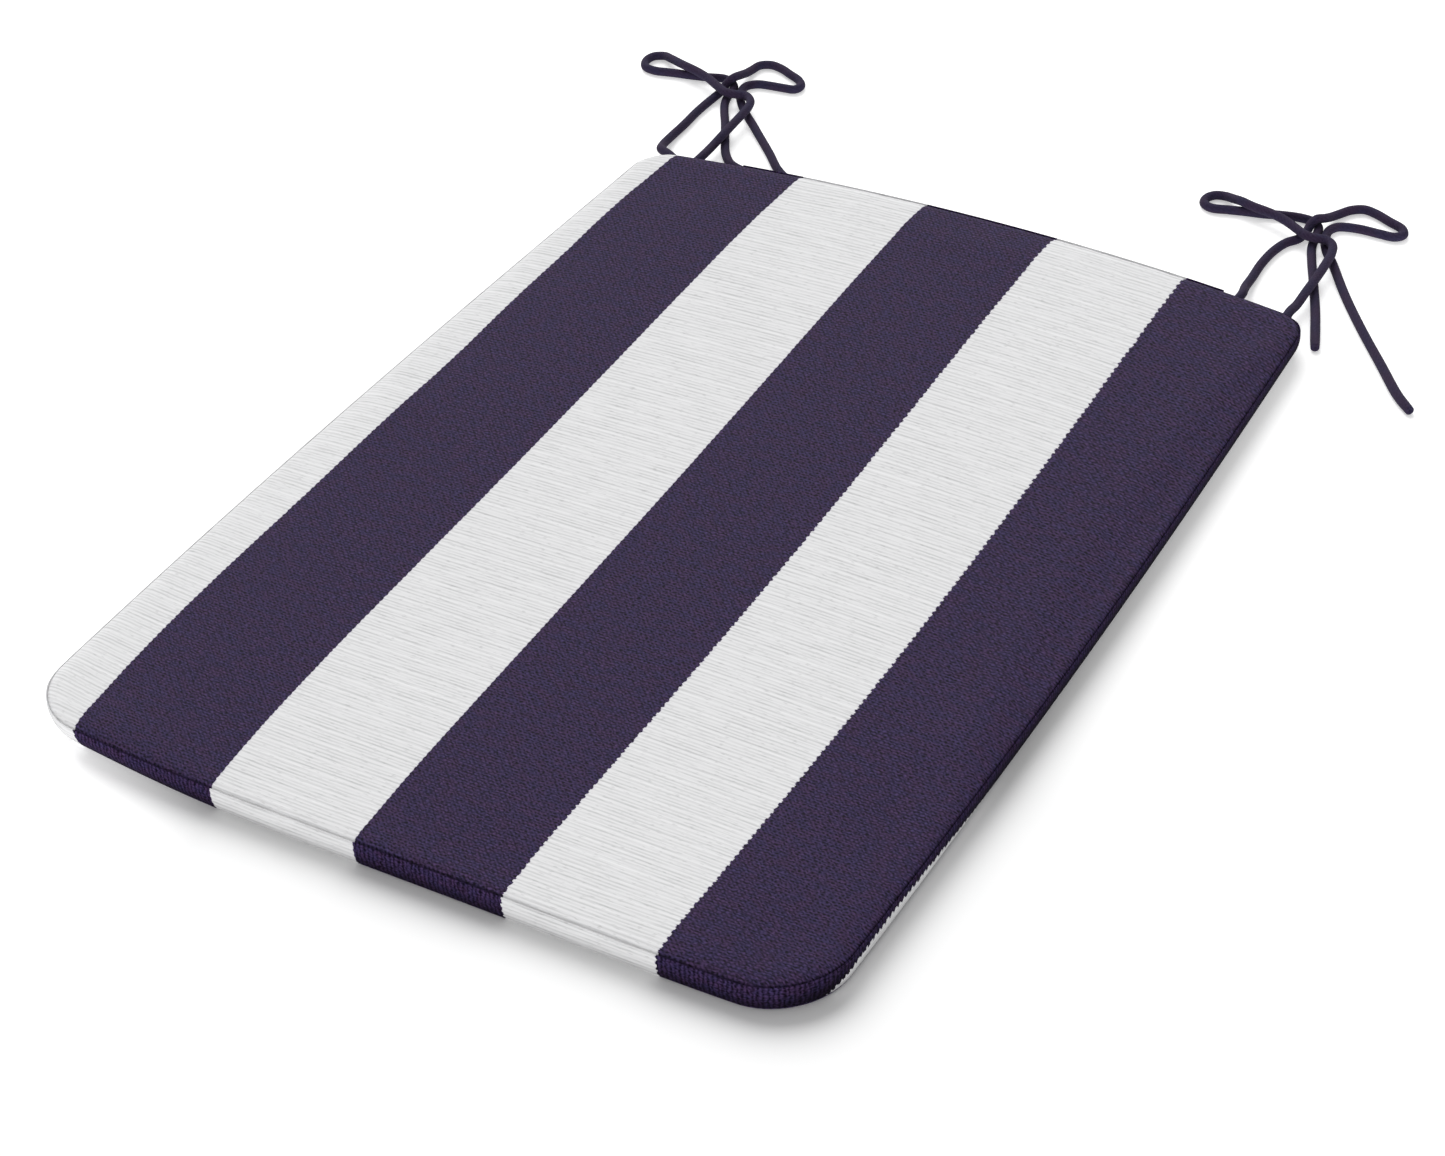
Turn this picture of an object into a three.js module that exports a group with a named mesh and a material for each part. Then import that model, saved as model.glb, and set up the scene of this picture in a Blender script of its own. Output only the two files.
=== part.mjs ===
// Boxed chair pad with a pair of tie cords, each pair knotted in a bow behind the back edge.
// Millimetres, +Z up. The pad lies on its underside at z = 0, its front edge towards -Y,
// and the origin is under the middle of the sewn pad.

import * as THREE from 'three';
import { mergeVertices } from 'three/addons/utils/BufferGeometryUtils.js';

// Plan of the top seam. Each edge has its half size, its lean from end to end, how far its
// middle bows out, its swing to one side and the other, and how far its quarters ripple out.
const PLAN = {
  left: { half: 195.3, lean: -8.3, bow: 4.7, swing: 1.4, ripple: 0 },
  right: { half: 201.05, lean: 2.55, bow: 4.9, swing: 0.9, ripple: 0 },
  front: { half: 276.5, lean: 2.6, bow: 5.6, swing: 3.8, ripple: 6.9 },
  back: { half: 265.5, lean: -0.1, bow: 16.3, swing: 0, ripple: 1.5 },
};
const HALF_WIDTH = 200;
const HALF_DEPTH = 275;
const FRONT_LEFT_RADIUS = 30;
const FRONT_RIGHT_RADIUS = 35;
const BACK_CORNER_RADIUS = 17;
const SMALLEST_INNER_RADIUS = 6;

// Heights above the surface that the pad rests on.
const TOP_SEAM_HEIGHT = 14;
const BOTTOM_SEAM_HEIGHT = 1;
const EDGE_ROLL = 1.6;
const EDGE_ROLL_REACH = 2.5;
const MIDDLE_CROWN = 2.2;
const MIDDLE_CROWN_REACH = 35;
const UNDERSIDE_ROLL = 16;

// The boxing is a strip of cloth sewn between the top and bottom panels. Its upper edge rolls
// over a little higher than the seam, and it draws in towards the bottom seam.
const CLOTH = 1.2;
const CLEARANCE = 0.3;
const BOTTOM_LIP = 0.4;
const BOXING_SHOULDER = 0.4;
const BOXING_TOP_INSET = 0.1;
const BOXING_DRAW_IN = 1.3;
const BOXING_BULGE = 0.6;

const BOXING_TOP = TOP_SEAM_HEIGHT + BOXING_SHOULDER;
const BOXING_BOTTOM = BOTTOM_SEAM_HEIGHT + BOTTOM_LIP + CLEARANCE;
const TOP_SEAM_INSET = BOXING_TOP_INSET + CLOTH + CLEARANCE;

// A placket, a second strip that covers the opening in the back boxing, between the ties.
const PLACKET_FROM = -132;
const PLACKET_TO = 153;
const PLACKET_RISE = 0.6;

// Round fabric tie cords.
const CORD_DIAMETER = 4.6;
const CORD_SIDES = 8;
const CORD_STEPS = 80;

const PALE_CLOTH = 0xd9dade;
const DARK_CLOTH = 0x3a3150;
const CORD_CLOTH = 0x2c2440;
const ROUGHNESS = 0.9;

const CORNER_SEGMENTS = 8;
const END_SEGMENTS = 12;
const SIDE_SEGMENTS = 14;
const TOP_INSETS = [150, 100, 65, 40, 24, 14, 9, 5.5, 3];
const UNDERSIDE_STEPS = 4;

// Route of each tie: out of the back boxing, through the knot, round its loop and back
// through the knot to the free end. Columns are x, y and height of the cord's centre.
const TIE_ROUTES = {
  tie_right_a: [
    [160.4, 273.05, 9], [160.6, 281.6, 8.5], [157.8, 295.0, 4.8], [156.8, 307.4, 2.8],
    [156.2, 323.4, 2.5], [157.6, 338.4, 2.4], [160.7, 348.4, 2.4], [165.2, 354.6, 2.6],
    [167.0, 361.4, 3.6], [167.6, 366.7, 5.8], [169.4, 369.5, 7.7], [172.1, 373.5, 6.7],
    [173.9, 380.8, 4], [176.6, 388.2, 2.6], [180.7, 394.6, 2.4], [186.7, 398.2, 2.4],
    [193.7, 396.9, 2.4], [203.2, 392.4, 2.4], [211.7, 388.2, 2.4], [214.2, 382.9, 2.4],
    [210.7, 378.9, 2.4], [202.2, 378.4, 2.4], [192.2, 378.4, 2.4], [184.2, 377.0, 2.4],
    [179.6, 374.8, 2.4], [177.0, 369.3, 2.4], [178.2, 360.4, 2.4], [182.2, 350.7, 2.4],
    [189.8, 339.7, 2.4], [206.7, 312.9, 2.4], [224.2, 287.9, 2.4], [244.6, 260.8, 2.4],
    [261.2, 238.8, 2.4], [270.7, 229.2, 2.4],
  ],
  tie_right_b: [
    [189.2, 269.02, 9], [188.7, 277.2, 8.6], [188.7, 288.4, 6.4], [189.2, 300.9, 7.5],
    [189.5, 316.9, 7.7], [189.2, 329.4, 7.7], [188.4, 340.9, 7.7], [185.9, 348.8, 7.7],
    [180.6, 352.1, 7.7], [175.2, 351.4, 7.7], [169.7, 351.9, 7.7], [163.7, 355.4, 7.7],
    [154.7, 360.9, 7.7], [145.7, 364.4, 7.7], [134.2, 366.7, 7.7], [126.7, 369.4, 7.4],
    [119.7, 374.4, 4.6], [113.7, 377.9, 2.6], [108.7, 376.9, 2.4], [105.4, 372.4, 2.4],
    [105.9, 366.4, 2.4], [111.2, 363.6, 2.4], [120.7, 365.9, 2.4], [129.7, 368.2, 2.4],
    [139.2, 370.2, 2.4], [149.2, 373.4, 2.4], [158.7, 375.2, 2.4], [166.2, 374.4, 2.4],
    [170.8, 370.1, 2.4], [172.6, 361.3, 2.4], [174.4, 350.3, 2.4], [179.4, 336.5, 2.4],
    [188.3, 315.4, 2.4], [197.7, 292.4, 2.4], [209.2, 260.9, 2.4],
  ],
  tie_left_a: [
    [-173.2, 269.75, 9], [-180.3, 274.0, 9], [-187.3, 278.4, 7.6], [-191.3, 287.4, 4.8],
    [-193.3, 301.4, 2.7], [-193.3, 315.4, 2.5], [-193.8, 331.4, 2.4], [-193.3, 344.4, 2.4],
    [-192.6, 350.8, 2.6], [-191.9, 358.2, 3.2], [-190.8, 363.9, 6.2], [-188.7, 367.3, 7.9],
    [-187.9, 373.9, 6.4], [-188.0, 381.3, 4], [-187.9, 388.3, 2.6], [-186.3, 395.2, 2.4],
    [-180.8, 398.4, 2.4], [-173.8, 397.4, 2.4], [-165.3, 393.4, 2.4], [-157.3, 389.2, 2.4],
    [-153.2, 383.9, 2.4], [-154.8, 378.9, 2.4], [-161.7, 377.5, 2.4], [-169.5, 376.6, 2.4],
    [-177.2, 374.8, 2.4], [-182.0, 369.9, 2.4], [-181.3, 361.8, 2.4], [-173.7, 349.2, 2.4],
    [-153.7, 328.6, 2.4], [-133.8, 308.4, 2.4], [-120.8, 294.6, 2.4], [-109.8, 287.6, 2.4],
    [-94.8, 286.2, 2.4], [-76.8, 287.4, 2.4], [-61.8, 288.2, 2.4],
  ],
  tie_left_b: [
    [-161.8, 270.6, 9], [-161.6, 279.0, 8.9], [-163.6, 294.9, 6.6], [-163.4, 306.9, 7.6],
    [-163.8, 319.4, 7.7], [-164.3, 330.9, 7.7], [-164.8, 339.9, 7.7], [-167.3, 347.9, 7.7],
    [-172.8, 352.1, 7.7], [-178.8, 350.9, 7.7], [-184.8, 350.6, 7.7], [-191.8, 354.0, 7.7],
    [-201.8, 360.2, 7.7], [-211.3, 364.4, 7.7], [-223.8, 368.4, 7.5], [-235.8, 375.9, 4.6],
    [-243.3, 380.2, 2.6], [-248.8, 377.2, 2.4], [-250.2, 370.6, 2.4], [-246.8, 364.2, 2.4],
    [-239.8, 362.6, 2.4], [-233.3, 363.9, 2.4], [-226.8, 365.4, 2.4], [-218.3, 366.9, 2.4],
    [-207.8, 369.4, 2.4], [-198.3, 372.2, 2.4], [-193.3, 371.0, 2.4], [-187.9, 365.7, 2.4],
    [-186.5, 356.9, 2.4], [-184.0, 347.4, 2.4], [-179.4, 338.2, 2.4], [-173.6, 328.5, 2.4],
    [-164.8, 312.4, 2.4], [-155.8, 296.9, 2.4], [-147.8, 288.6, 2.4], [-138.8, 285.4, 2.4],
    [-130.8, 284.9, 2.4],
  ],
};

const cloth = (color) => new THREE.MeshStandardMaterial({ color, roughness: ROUGHNESS, metalness: 0 });

// Position in plan of the point at (u, v) on the flat pattern, where u and v run from -1 to 1.
function planPoint(u, v) {
  const reach = (side, along) => {
    const inner = 1 - along * along;
    const straight = side.half + side.lean * along;
    return straight + inner * (side.bow - side.swing * along + side.ripple * along * along);
  };
  const left = -reach(PLAN.left, v);
  const right = reach(PLAN.right, v);
  const front = -reach(PLAN.front, u);
  const back = reach(PLAN.back, u);
  return [
    THREE.MathUtils.lerp(left, right, (u + 1) / 2),
    THREE.MathUtils.lerp(front, back, (v + 1) / 2),
  ];
}

// Closed ring of plan points that follows the seam, a distance inset inside it.
function seamRing(inset) {
  const w = HALF_WIDTH - inset;
  const d = HALF_DEPTH - inset;
  const inner = (radius) => Math.max(radius - inset, Math.min(SMALLEST_INNER_RADIUS, radius));
  const frontLeft = inner(FRONT_LEFT_RADIUS);
  const frontRight = inner(FRONT_RIGHT_RADIUS);
  const back = inner(BACK_CORNER_RADIUS);
  const corners = [
    { x: w - frontRight, y: -d + frontRight, radius: frontRight, from: -90, edge: SIDE_SEGMENTS },
    { x: w - back, y: d - back, radius: back, from: 0, edge: END_SEGMENTS },
    { x: -w + back, y: d - back, radius: back, from: 90, edge: SIDE_SEGMENTS },
    { x: -w + frontLeft, y: -d + frontLeft, radius: frontLeft, from: 180, edge: END_SEGMENTS },
  ];
  const arcPoint = (corner, share) => {
    const angle = THREE.MathUtils.degToRad(corner.from + 90 * share);
    return [corner.x + corner.radius * Math.cos(angle), corner.y + corner.radius * Math.sin(angle)];
  };
  const ring = [];
  corners.forEach((corner, i) => {
    for (let k = 0; k <= CORNER_SEGMENTS; k += 1) {
      ring.push(arcPoint(corner, k / CORNER_SEGMENTS));
    }
    const [x0, y0] = arcPoint(corner, 1);
    const [x1, y1] = arcPoint(corners[(i + 1) % corners.length], 0);
    for (let k = 1; k < corner.edge; k += 1) {
      const share = k / corner.edge;
      ring.push([THREE.MathUtils.lerp(x0, x1, share), THREE.MathUtils.lerp(y0, y1, share)]);
    }
  });
  return ring.map(([x, y]) => planPoint(x / HALF_WIDTH, y / HALF_DEPTH));
}

// Skin over rings of [x, y, z] points, all with the same count and turning the same way.
// It is closed with a fan at each end, or joined from the last ring to the first.
function skinRings(rings, { joined = false, closedRings = true } = {}) {
  const count = rings[0].length;
  const positions = rings.flat(2);
  const index = [];
  const spans = joined ? rings.length : rings.length - 1;
  const columns = closedRings ? count : count - 1;
  for (let r = 0; r < spans; r += 1) {
    const here = r * count;
    const next = ((r + 1) % rings.length) * count;
    for (let i = 0; i < columns; i += 1) {
      const j = (i + 1) % count;
      index.push(here + i, next + i, next + j);
      index.push(here + i, next + j, here + j);
    }
  }
  if (!joined) {
    addFan(positions, index, 0, count, false);
    addFan(positions, index, (rings.length - 1) * count, count, true);
  }
  if (joined && !closedRings) {
    for (let r = 1; r < rings.length - 1; r += 1) {
      index.push(0, (r + 1) * count, r * count);
      index.push(count - 1, (r + 1) * count - 1, (r + 2) * count - 1);
    }
  }
  return geometryFrom(positions, index);
}

// Fan from a ring's own middle to all its points.
function addFan(positions, index, start, count, last) {
  const middle = [0, 0, 0];
  for (let i = 0; i < count; i += 1) {
    for (let axis = 0; axis < 3; axis += 1) {
      middle[axis] += positions[(start + i) * 3 + axis] / count;
    }
  }
  const centre = positions.length / 3;
  positions.push(...middle);
  for (let i = 0; i < count; i += 1) {
    const j = (i + 1) % count;
    index.push(start + i);
    index.push(...(last ? [centre, start + j] : [start + j, centre]));
  }
}

function geometryFrom(positions, index) {
  const geometry = new THREE.BufferGeometry();
  geometry.setAttribute('position', new THREE.Float32BufferAttribute(positions, 3));
  geometry.setIndex(index);
  const faceted = geometry.toNonIndexed();
  faceted.computeVertexNormals();
  return faceted;
}

const lift = (ring, z) => ring.map(([x, y]) => [x, y, z]);

// Inset of the boxing's outer face at a height: full between the seams, drawn in at the bottom.
function boxingInset(z) {
  const drop = (BOXING_TOP - z) / (BOXING_TOP - BOTTOM_SEAM_HEIGHT);
  return BOXING_TOP_INSET + BOXING_DRAW_IN * drop * drop - BOXING_BULGE * Math.sin(Math.PI * drop);
}

// Height of the top panel: it rolls up steeply off the seam, then crowns gently.
function topHeight(inset) {
  const reach = inset - TOP_SEAM_INSET;
  const roll = EDGE_ROLL * (1 - Math.exp(-reach / EDGE_ROLL_REACH));
  const crown = MIDDLE_CROWN * (1 - Math.exp(-reach / MIDDLE_CROWN_REACH));
  return TOP_SEAM_HEIGHT + roll + crown;
}

// The filled pad: crowned top panel, a recess for the boxing, and a flat underside whose
// edge rolls up to the bottom seam.
function padGeometry() {
  const lip = BOTTOM_SEAM_HEIGHT + BOTTOM_LIP;
  const middle = (BOXING_BOTTOM + BOXING_TOP) / 2;
  const recess = (z) => boxingInset(z) + CLOTH + CLEARANCE;
  const bottomInset = boxingInset(BOTTOM_SEAM_HEIGHT);
  const profile = TOP_INSETS.map((inset) => [inset, topHeight(inset)]);
  profile.push([TOP_SEAM_INSET, TOP_SEAM_HEIGHT], [recess(middle), middle], [recess(lip), lip]);
  profile.push([boxingInset(lip), lip], [bottomInset, BOTTOM_SEAM_HEIGHT]);
  for (let k = 1; k <= UNDERSIDE_STEPS; k += 1) {
    const share = k / UNDERSIDE_STEPS;
    profile.push([bottomInset + UNDERSIDE_ROLL * share, BOTTOM_SEAM_HEIGHT * (1 - share) ** 2]);
  }
  return skinRings(profile.map(([inset, z]) => lift(seamRing(inset), z)));
}

// Closed band of cloth between two heights, whose outer face has the given inset at a height.
function stripRings(ringAt, low, high, insetAt) {
  const middle = (low + high) / 2;
  const outer = (z) => lift(ringAt(insetAt(z)), z);
  const inner = (z) => lift(ringAt(insetAt(z) + CLOTH), z);
  return [outer(high), outer(middle), outer(low), inner(low), inner(middle), inner(high)];
}

function boxingGeometry() {
  const rings = stripRings(seamRing, BOXING_BOTTOM, BOXING_TOP, boxingInset);
  return skinRings(rings, { joined: true });
}

// The stretch of a seam ring along the back edge, between two distances from the middle.
function backStretch(inset, from, to) {
  const ring = seamRing(inset);
  const backY = (x) => {
    for (let i = 0; i < ring.length; i += 1) {
      const [x0, y0] = ring[i];
      const [x1, y1] = ring[(i + 1) % ring.length];
      if (y0 > 0 && y1 > 0 && x0 >= x && x1 < x) {
        return THREE.MathUtils.mapLinear(x, x0, x1, y0, y1);
      }
    }
    throw new Error('the stretch runs past the back edge');
  };
  const stretch = [];
  for (let k = 0; k <= END_SEGMENTS; k += 1) {
    const x = THREE.MathUtils.lerp(to, from, k / END_SEGMENTS);
    stretch.push([x, backY(x)]);
  }
  return stretch;
}

function placketGeometry() {
  const ringAt = (inset) => backStretch(inset, PLACKET_FROM, PLACKET_TO);
  const insetAt = (z) => Math.min(boxingInset(z), 0) - CLEARANCE - CLOTH;
  const rings = stripRings(ringAt, BOXING_BOTTOM, TOP_SEAM_HEIGHT + PLACKET_RISE, insetAt);
  return skinRings(rings, { joined: true, closedRings: false });
}

// Round cord swept along a smooth curve through its route points.
function cordGeometry(route) {
  const points = route.map(([x, y, z]) => new THREE.Vector3(x, y, z));
  const corners = [];
  for (let k = 0; k < CORD_SIDES; k += 1) {
    const angle = (2 * Math.PI * k) / CORD_SIDES;
    corners.push(new THREE.Vector2(Math.cos(angle), Math.sin(angle)).multiplyScalar(CORD_DIAMETER / 2));
  }
  const section = new THREE.Shape(corners);
  const sweep = new THREE.ExtrudeGeometry(section, {
    steps: CORD_STEPS,
    bevelEnabled: false,
    extrudePath: new THREE.CatmullRomCurve3(points),
  });
  sweep.deleteAttribute('normal');
  sweep.deleteAttribute('uv');
  const welded = mergeVertices(sweep).toNonIndexed();
  welded.computeVertexNormals();
  return welded;
}

function addPiece(group, name, geometry, material) {
  const mesh = new THREE.Mesh(geometry, material);
  mesh.name = name;
  group.add(mesh);
}

const pad = new THREE.Group();
addPiece(pad, 'pad', padGeometry(), cloth(PALE_CLOTH));
addPiece(pad, 'boxing', boxingGeometry(), cloth(DARK_CLOTH));
addPiece(pad, 'back_placket', placketGeometry(), cloth(DARK_CLOTH));
for (const [name, route] of Object.entries(TIE_ROUTES)) {
  addPiece(pad, name, cordGeometry(route), cloth(CORD_CLOTH));
}

export default pad;
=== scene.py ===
"""A boxed chair pad in broad woven stripes, with a pair of tie cords in a bow at each back corner.

Metres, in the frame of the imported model: +Z up, the front edge towards -Y, and the origin
under the middle of the sewn pad.
"""

import math
from collections import namedtuple

import bpy
import numpy as np
from mathutils import Matrix, Vector
from mathutils.bvhtree import BVHTree


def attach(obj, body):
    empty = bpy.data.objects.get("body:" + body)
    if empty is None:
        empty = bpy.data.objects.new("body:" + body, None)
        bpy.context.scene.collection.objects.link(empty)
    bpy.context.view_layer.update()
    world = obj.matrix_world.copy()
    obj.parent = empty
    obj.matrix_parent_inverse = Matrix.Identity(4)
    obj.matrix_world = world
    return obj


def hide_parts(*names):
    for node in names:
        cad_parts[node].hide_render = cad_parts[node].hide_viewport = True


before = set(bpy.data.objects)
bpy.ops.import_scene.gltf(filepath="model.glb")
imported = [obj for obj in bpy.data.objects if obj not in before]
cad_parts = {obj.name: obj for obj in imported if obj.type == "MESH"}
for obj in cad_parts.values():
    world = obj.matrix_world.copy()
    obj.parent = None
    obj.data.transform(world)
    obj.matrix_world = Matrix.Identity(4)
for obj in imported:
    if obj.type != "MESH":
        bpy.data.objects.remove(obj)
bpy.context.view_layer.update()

bl_info = {
    "name": "Striped Chair Pad",
    "version": (1, 0, 0),
    "blender": (4, 5, 0),
    "location": "View3D > Sidebar > Chair Pad",
    "description": "Builds a boxed chair pad in striped canvas with tie cords knotted in bows",
    "category": "Object",
}

BODY = "root"
FLAT_UV = "cloth"
STRIP_UV = "strip"

# The camera's place and its axes, in the pad's frame.
CAMERA_PLACE = (0.605475, -1.0394, 0.92135)
CAMERA_RIGHT = (0.87660, 0.48028, -0.02987)
CAMERA_UP = (-0.27920, 0.55817, 0.78134)
CAMERA_LENS = 77.92
CAMERA_SENSOR = 36.0

# Plan of the top seam: half size, lean, bow, swing and ripple of each edge.
PLAN = {
    "left": (0.1953, -0.0083, 0.0047, 0.0014, 0.0),
    "right": (0.20105, 0.00255, 0.0049, 0.0009, 0.0),
    "front": (0.2765, 0.0026, 0.0056, 0.0038, 0.0069),
    "back": (0.2655, -0.0001, 0.0163, 0.0, 0.0015),
}
HALF_WIDTH = 0.200
HALF_DEPTH = 0.275
FRONT_LEFT_CORNER = 0.030
FRONT_RIGHT_CORNER = 0.035
BACK_CORNER = 0.017
INNER_CORNER = 0.006
CORNER_STEPS = 22
END_STEPS = 84
SIDE_STEPS = 110

# Where each change of stripe runs over the pad, from left to right: its place on the cross
# line, and its lean, bow, swing and ripple.
STRIPE_WIDTH = 0.075
STRIPE_EDGES = (
    (-0.16984, 0.00099, -0.00404, -0.00136, -0.00977),
    (-0.09483, -0.00144, -0.00091, -0.00029, -0.00479),
    (-0.02039, -0.00166, 0.00130, 0.00050, -0.00205),
    (0.05498, -0.00012, 0.00328, 0.00187, -0.00215),
    (0.12993, 0.00108, 0.00480, 0.00243, -0.00032),
    (0.22502, 0.01615, 0.00303, -0.00387, -0.03147),
)

# Route of each tie: out of the back boxing, through the knot, round its loop and back
# through the knot to the free end.
TIE_ROUTES = {
    "tie_right_a": (
        (0.1604, 0.27305, 0.0090), (0.1606, 0.2816, 0.0085), (0.1578, 0.2950, 0.0048),
        (0.1568, 0.3074, 0.0028), (0.1562, 0.3234, 0.0025), (0.1576, 0.3384, 0.0024),
        (0.1607, 0.3484, 0.0024), (0.1652, 0.3546, 0.0026), (0.1670, 0.3614, 0.0036),
        (0.1676, 0.3667, 0.0058), (0.1694, 0.3695, 0.0077), (0.1721, 0.3735, 0.0067),
        (0.1739, 0.3808, 0.0040), (0.1766, 0.3882, 0.0026), (0.1807, 0.3946, 0.0024),
        (0.1867, 0.3982, 0.0024), (0.1937, 0.3969, 0.0024), (0.2032, 0.3924, 0.0024),
        (0.2117, 0.3882, 0.0024), (0.2142, 0.3829, 0.0024), (0.2107, 0.3789, 0.0024),
        (0.2022, 0.3784, 0.0024), (0.1922, 0.3784, 0.0024), (0.1842, 0.3770, 0.0024),
        (0.1796, 0.3748, 0.0024), (0.1770, 0.3693, 0.0024), (0.1782, 0.3604, 0.0024),
        (0.1822, 0.3507, 0.0024), (0.1898, 0.3397, 0.0024), (0.2067, 0.3129, 0.0024),
        (0.2242, 0.2879, 0.0024), (0.2446, 0.2608, 0.0024), (0.2612, 0.2388, 0.0024),
        (0.2707, 0.2292, 0.0024),
    ),
    "tie_right_b": (
        (0.1892, 0.26902, 0.0090), (0.1887, 0.2772, 0.0086), (0.1887, 0.2884, 0.0064),
        (0.1892, 0.3009, 0.0075), (0.1895, 0.3169, 0.0077), (0.1892, 0.3294, 0.0077),
        (0.1884, 0.3409, 0.0077), (0.1859, 0.3488, 0.0077), (0.1806, 0.3521, 0.0077),
        (0.1752, 0.3514, 0.0077), (0.1697, 0.3519, 0.0077), (0.1637, 0.3554, 0.0077),
        (0.1547, 0.3609, 0.0077), (0.1457, 0.3644, 0.0077), (0.1342, 0.3667, 0.0077),
        (0.1267, 0.3694, 0.0074), (0.1197, 0.3744, 0.0046), (0.1137, 0.3779, 0.0026),
        (0.1087, 0.3769, 0.0024), (0.1054, 0.3724, 0.0024), (0.1059, 0.3664, 0.0024),
        (0.1112, 0.3636, 0.0024), (0.1207, 0.3659, 0.0024), (0.1297, 0.3682, 0.0024),
        (0.1392, 0.3702, 0.0024), (0.1492, 0.3734, 0.0024), (0.1587, 0.3752, 0.0024),
        (0.1662, 0.3744, 0.0024), (0.1708, 0.3701, 0.0024), (0.1726, 0.3613, 0.0024),
        (0.1744, 0.3503, 0.0024), (0.1794, 0.3365, 0.0024), (0.1883, 0.3154, 0.0024),
        (0.1977, 0.2924, 0.0024), (0.2092, 0.2609, 0.0024),
    ),
    "tie_left_a": (
        (-0.1732, 0.26975, 0.0090), (-0.1803, 0.2740, 0.0090), (-0.1873, 0.2784, 0.0076),
        (-0.1913, 0.2874, 0.0048), (-0.1933, 0.3014, 0.0027), (-0.1933, 0.3154, 0.0025),
        (-0.1938, 0.3314, 0.0024), (-0.1933, 0.3444, 0.0024), (-0.1926, 0.3508, 0.0026),
        (-0.1919, 0.3582, 0.0032), (-0.1908, 0.3639, 0.0062), (-0.1887, 0.3673, 0.0079),
        (-0.1879, 0.3739, 0.0064), (-0.1880, 0.3813, 0.0040), (-0.1879, 0.3883, 0.0026),
        (-0.1863, 0.3952, 0.0024), (-0.1808, 0.3984, 0.0024), (-0.1738, 0.3974, 0.0024),
        (-0.1653, 0.3934, 0.0024), (-0.1573, 0.3892, 0.0024), (-0.1532, 0.3839, 0.0024),
        (-0.1548, 0.3789, 0.0024), (-0.1617, 0.3775, 0.0024), (-0.1695, 0.3766, 0.0024),
        (-0.1772, 0.3748, 0.0024), (-0.1820, 0.3699, 0.0024), (-0.1813, 0.3618, 0.0024),
        (-0.1737, 0.3492, 0.0024), (-0.1537, 0.3286, 0.0024), (-0.1338, 0.3084, 0.0024),
        (-0.1208, 0.2946, 0.0024), (-0.1098, 0.2876, 0.0024), (-0.0948, 0.2862, 0.0024),
        (-0.0768, 0.2874, 0.0024), (-0.0618, 0.2882, 0.0024),
    ),
    "tie_left_b": (
        (-0.1618, 0.2706, 0.0090), (-0.1616, 0.2790, 0.0089), (-0.1636, 0.2949, 0.0066),
        (-0.1634, 0.3069, 0.0076), (-0.1638, 0.3194, 0.0077), (-0.1643, 0.3309, 0.0077),
        (-0.1648, 0.3399, 0.0077), (-0.1673, 0.3479, 0.0077), (-0.1728, 0.3521, 0.0077),
        (-0.1788, 0.3509, 0.0077), (-0.1848, 0.3506, 0.0077), (-0.1918, 0.3540, 0.0077),
        (-0.2018, 0.3602, 0.0077), (-0.2113, 0.3644, 0.0077), (-0.2238, 0.3684, 0.0075),
        (-0.2358, 0.3759, 0.0046), (-0.2433, 0.3802, 0.0026), (-0.2488, 0.3772, 0.0024),
        (-0.2502, 0.3706, 0.0024), (-0.2468, 0.3642, 0.0024), (-0.2398, 0.3626, 0.0024),
        (-0.2333, 0.3639, 0.0024), (-0.2268, 0.3654, 0.0024), (-0.2183, 0.3669, 0.0024),
        (-0.2078, 0.3694, 0.0024), (-0.1983, 0.3722, 0.0024), (-0.1933, 0.3710, 0.0024),
        (-0.1879, 0.3657, 0.0024), (-0.1865, 0.3569, 0.0024), (-0.1840, 0.3474, 0.0024),
        (-0.1794, 0.3382, 0.0024), (-0.1736, 0.3285, 0.0024), (-0.1648, 0.3124, 0.0024),
        (-0.1558, 0.2969, 0.0024), (-0.1478, 0.2886, 0.0024), (-0.1388, 0.2854, 0.0024),
        (-0.1308, 0.2849, 0.0024),
    ),
}

# Heights and insets of the sewn edge.
BOTTOM_SEAM = 0.0010
BOXING_TOP = 0.0144
BOXING_TOP_INSET = 0.0001
BOTTOM_LIP = 0.0014
CLEARANCE = 0.0003
ROLL_REACH = 0.0025
CROWN_REACH = 0.035
UNDERSIDE_ROLL = 0.016
UNDERSIDE_STEPS = 10

# Points along each edge: height, and how far inside the seam or the face it lies.
PAD_SEAM = ((0.01365, 0.0003), (0.0133, 0.0001), (0.0129, 0.0001), (0.0125, 0.0005))
PAD_WALL_HEIGHTS = (0.0115, 0.0080, 0.0045, BOTTOM_LIP)
PAD_LOWER_SEAM = ((BOTTOM_LIP, 0.0004), (0.0012, 0.0001), (BOTTOM_SEAM, 0.0))
BOXING_LIP = (
    (0.0129, 0.0002), (0.0133, 0.0), (0.0138, -0.0002), (0.0142, -0.0004),
    (0.01436, -0.0006), (0.01428, -0.0008),
)
BOXING_LOWER_FOLD = ((0.0018, 0.00015), (0.0015, 0.0005))
BOXING_FOLD_END = 0.0016
BOXING_FACE_HEIGHTS = np.linspace(0.0137, 0.0023, 16)
BOXING_BACK_HEIGHTS = np.linspace(0.0025, 0.0118, 5)
PLACKET_HEIGHTS = np.linspace(0.0139, 0.0024, 12)
PLACKET_TOP_FOLD = ((0.0145, -0.0003), (0.0146, -0.0007), (0.0144, -0.0011))
PLACKET_LOWER_FOLD = ((0.0018, -0.0010), (0.0017, -0.0006), (0.0019, -0.0002))
PLACKET_STEPS = 96
PLACKET_LIMIT = 0.17

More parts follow.
